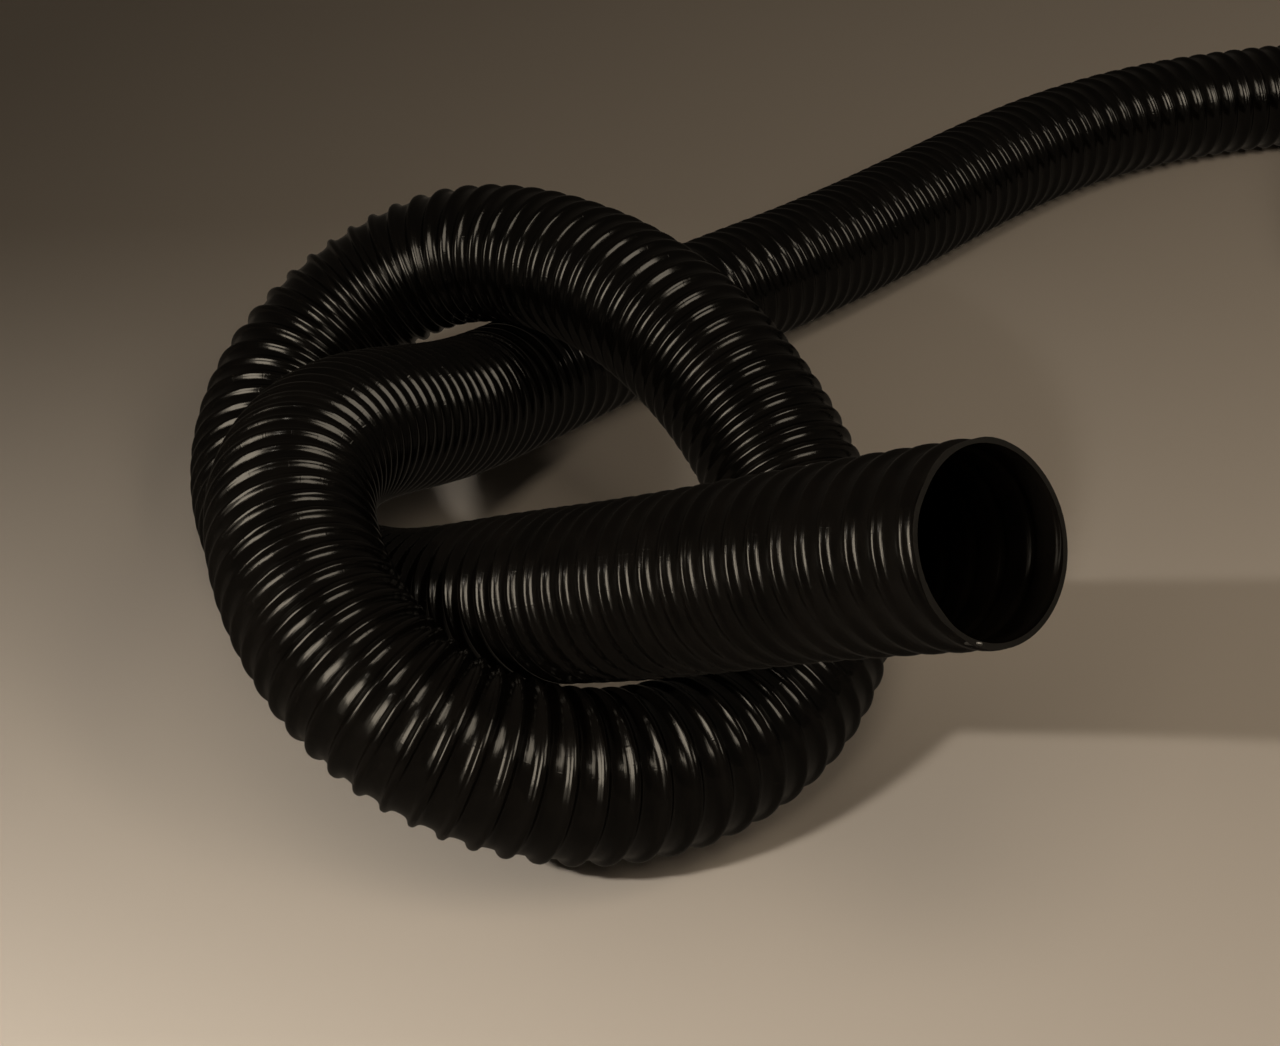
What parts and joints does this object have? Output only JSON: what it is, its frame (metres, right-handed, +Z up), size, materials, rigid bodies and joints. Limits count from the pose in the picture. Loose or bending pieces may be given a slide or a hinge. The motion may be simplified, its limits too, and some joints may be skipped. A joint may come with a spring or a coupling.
{
  "type": "vacuum hose",
  "caption": "Black wire-reinforced vacuum hose in a loose overhand knot, with a bare cut end and one stored turn that ends in a swivel cuff.",
  "frame": {"origin": "on the floor, at the middle of the length and width of the hose as it lies", "axes": "+X along the longest extent of the hose as it lies, from the knot to the stored turn, and along the swivel cuff out of its socket; +Y away from the viewer, across the hose as it lies; +Z up from the floor"},
  "size_m": [0.8435, 0.6104, 0.1406],
  "materials": {
    "hose_film": "glossy black flexible film",
    "spring_wire": "bright drawn spring steel",
    "cuff_plastic": "fine satin texture",
    "collar_plastic": "satin",
    "ring_steel": "plain spring steel",
    "seal_rubber": "smooth"
  },
  "bodies": {
    "hose": {"hose_body": "hose_film", "inner_film_end": "hose_film", "outer_film_end": "hose_film", "wire_helix": "spring_wire", "cuff_collar": "collar_plastic", "retaining_ring": "ring_steel", "o_ring": "seal_rubber"},
    "sleeve": {"swivel_sleeve": "cuff_plastic"}
  },
  "joints": [
    {"name": "cuff_swivel", "type": "hinge", "parent": "hose", "child": "sleeve", "pos_m": [0.251, 0.279, 0.06999], "axis": [1, 0, 0], "continuous": true}
  ]
}
